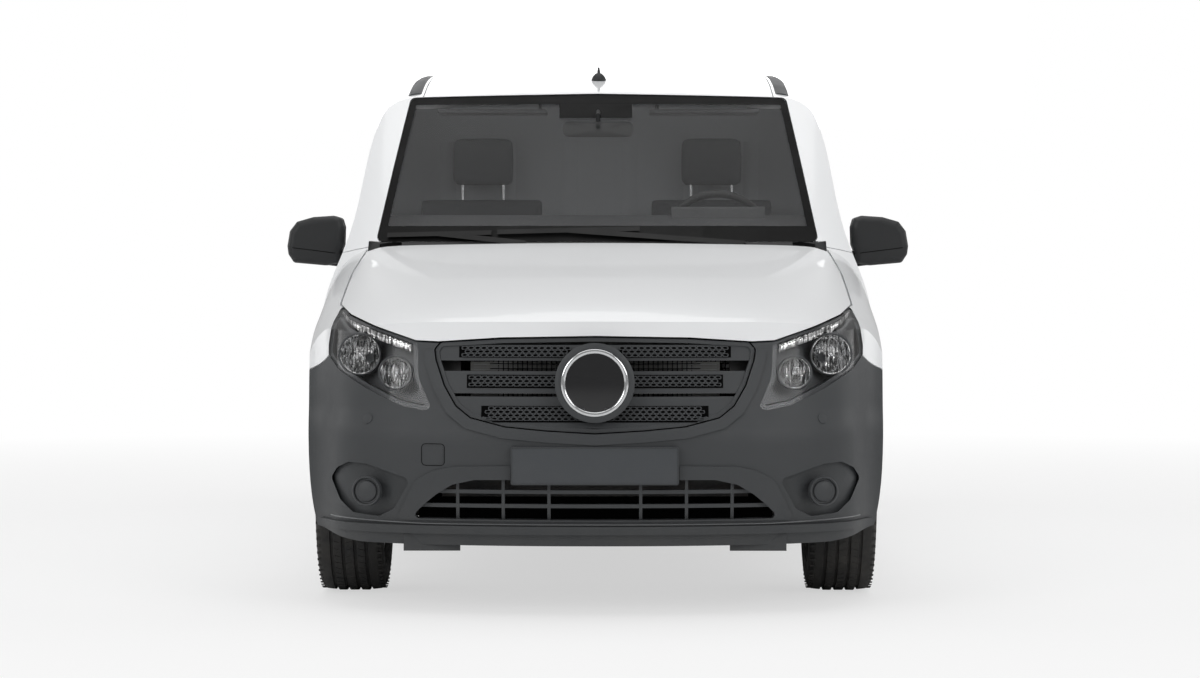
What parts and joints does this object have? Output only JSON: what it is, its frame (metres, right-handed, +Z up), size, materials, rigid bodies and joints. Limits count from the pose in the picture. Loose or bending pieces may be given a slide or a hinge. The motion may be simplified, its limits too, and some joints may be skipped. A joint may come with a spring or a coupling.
{
  "type": "panel van",
  "caption": "Short-nosed panel van with a hinged bonnet, two cab doors, twin rear doors, a closed load space, a fixed side loading door and steered front wheels.",
  "frame": {"origin": "on the ground, midway along the overall length and width", "axes": "+Z up, -Y towards the nose, +X the vehicle's left"},
  "size_m": [2.2436, 5.1398, 1.9097],
  "materials": {
    "white_paint": "gloss white body paint",
    "grey_plastic": "grained dark grey bumper plastic",
    "black_plastic": "satin black plastic",
    "clear_lens": "clear lamp lens",
    "lamp_housing": "bright and grey lamp bucket",
    "red_lens": "red and clear tail lamp",
    "window_glass": "tinted glass",
    "plate_face": "blank plate",
    "tyre": "tyre rubber",
    "wheel_silver": "silver wheel paint",
    "chassis_black": "black underbody coating",
    "engine_alloy": "cast alloy",
    "exhaust_steel": "heat-marked steel",
    "seat_cloth": "dark seat cloth",
    "trim_grey": "cab trim plastic"
  },
  "bodies": {
    "body": {"floor_pan": "chassis_black", "front_structure": "chassis_black", "firewall": "chassis_black", "front_wings": "white_paint", "side_panel_left": "white_paint", "side_panel_right": "white_paint", "sliding_door": "white_paint", "roof_panel": "white_paint", "front_bumper": "grey_plastic", "rear_bumper": "grey_plastic", "windscreen": "window_glass", "headlamps": "lamp_housing", "headlamp_lenses": "clear_lens", "tail_lamps": "red_lens", "grille": "grey_plastic", "number_plate": "plate_face", "wipers": "black_plastic", "front_subframe": "chassis_black", "rear_suspension": "chassis_black", "engine_block": "engine_alloy", "radiator": "engine_alloy", "exhaust": "exhaust_steel", "fuel_tank": "black_plastic", "driver_seat": "seat_cloth", "bench_seat": "seat_cloth", "seat_bases": "trim_grey", "dashboard": "trim_grey", "load_bulkhead": "trim_grey"},
    "bonnet": {"bonnet": "white_paint"},
    "front_door_left": {"front_door_left": "white_paint", "door_glass_left": "window_glass", "mirror_left": "black_plastic"},
    "front_door_right": {"front_door_right": "white_paint", "door_glass_right": "window_glass", "mirror_right": "black_plastic"},
    "rear_door_left": {"rear_door_left": "white_paint", "rear_glass_left": "window_glass"},
    "rear_door_right": {"rear_door_right": "white_paint", "rear_glass_right": "window_glass"},
    "knuckle_left": {"knuckle_left": "engine_alloy", "strut_left": "chassis_black"},
    "knuckle_right": {"knuckle_right": "engine_alloy", "strut_right": "chassis_black"},
    "steering_wheel": {"steering_wheel": "black_plastic"},
    "wheel_front_left": {"wheel_front_left": "wheel_silver", "tyre_front_left": "tyre"},
    "wheel_front_right": {"wheel_front_right": "wheel_silver", "tyre_front_right": "tyre"},
    "wheel_rear_left": {"wheel_rear_left": "wheel_silver", "tyre_rear_left": "tyre"},
    "wheel_rear_right": {"wheel_rear_right": "wheel_silver", "tyre_rear_right": "tyre"}
  },
  "joints": [
    {"name": "bonnet_lift", "type": "hinge", "parent": "body", "child": "bonnet", "pos_m": [0, -1.318, 1.138], "axis": [-1, 0, 0], "range_deg": [0, 45]},
    {"name": "front_door_left_swing", "type": "hinge", "parent": "body", "child": "front_door_left", "pos_m": [0.95261, -1.21, 0.5], "axis": [0, 0, -1], "range_deg": [0, 70]},
    {"name": "front_door_right_swing", "type": "hinge", "parent": "body", "child": "front_door_right", "pos_m": [-0.95261, -1.21, 0.5], "axis": [0, 0, 1], "range_deg": [0, 70]},
    {"name": "rear_door_left_swing", "type": "hinge", "parent": "body", "child": "rear_door_left", "pos_m": [0.78196, 2.53281, 0.7], "axis": [0.0786, 0.0256, -0.9966], "range_deg": [0, 160]},
    {"name": "rear_door_right_swing", "type": "hinge", "parent": "body", "child": "rear_door_right", "pos_m": [-0.78196, 2.53281, 0.7], "axis": [0.0786, -0.0256, 0.9966], "range_deg": [0, 160]},
    {"name": "steer_left", "type": "hinge", "parent": "body", "child": "knuckle_left", "pos_m": [0.76, -1.675, 0.22], "axis": [-0.2306, 0, 0.973], "range_deg": [-33, 33]},
    {"name": "steer_right", "type": "hinge", "parent": "body", "child": "knuckle_right", "pos_m": [-0.76, -1.675, 0.22], "axis": [0.2306, 0, 0.973], "range_deg": [-33, 33]},
    {"name": "steering_wheel_turn", "type": "hinge", "parent": "body", "child": "steering_wheel", "pos_m": [0.44, -0.7, 1.214], "axis": [0, 0.866, 0.5], "range_deg": [-500, 500]},
    {"name": "wheel_front_left_roll", "type": "hinge", "parent": "knuckle_left", "child": "wheel_front_left", "pos_m": [0.825, -1.675, 0.338], "axis": [1, 0, 0], "continuous": true},
    {"name": "wheel_front_right_roll", "type": "hinge", "parent": "knuckle_right", "child": "wheel_front_right", "pos_m": [-0.825, -1.675, 0.338], "axis": [1, 0, 0], "continuous": true},
    {"name": "wheel_rear_left_roll", "type": "hinge", "parent": "body", "child": "wheel_rear_left", "pos_m": [0.825, 1.525, 0.338], "axis": [1, 0, 0], "continuous": true},
    {"name": "wheel_rear_right_roll", "type": "hinge", "parent": "body", "child": "wheel_rear_right", "pos_m": [-0.825, 1.525, 0.338], "axis": [1, 0, 0], "continuous": true}
  ],
  "couplings": [
    {"joint": "steer_right", "follows": "steer_left", "ratio": 1},
    {"joint": "steering_wheel_turn", "follows": "steer_left", "ratio": 15}
  ]
}
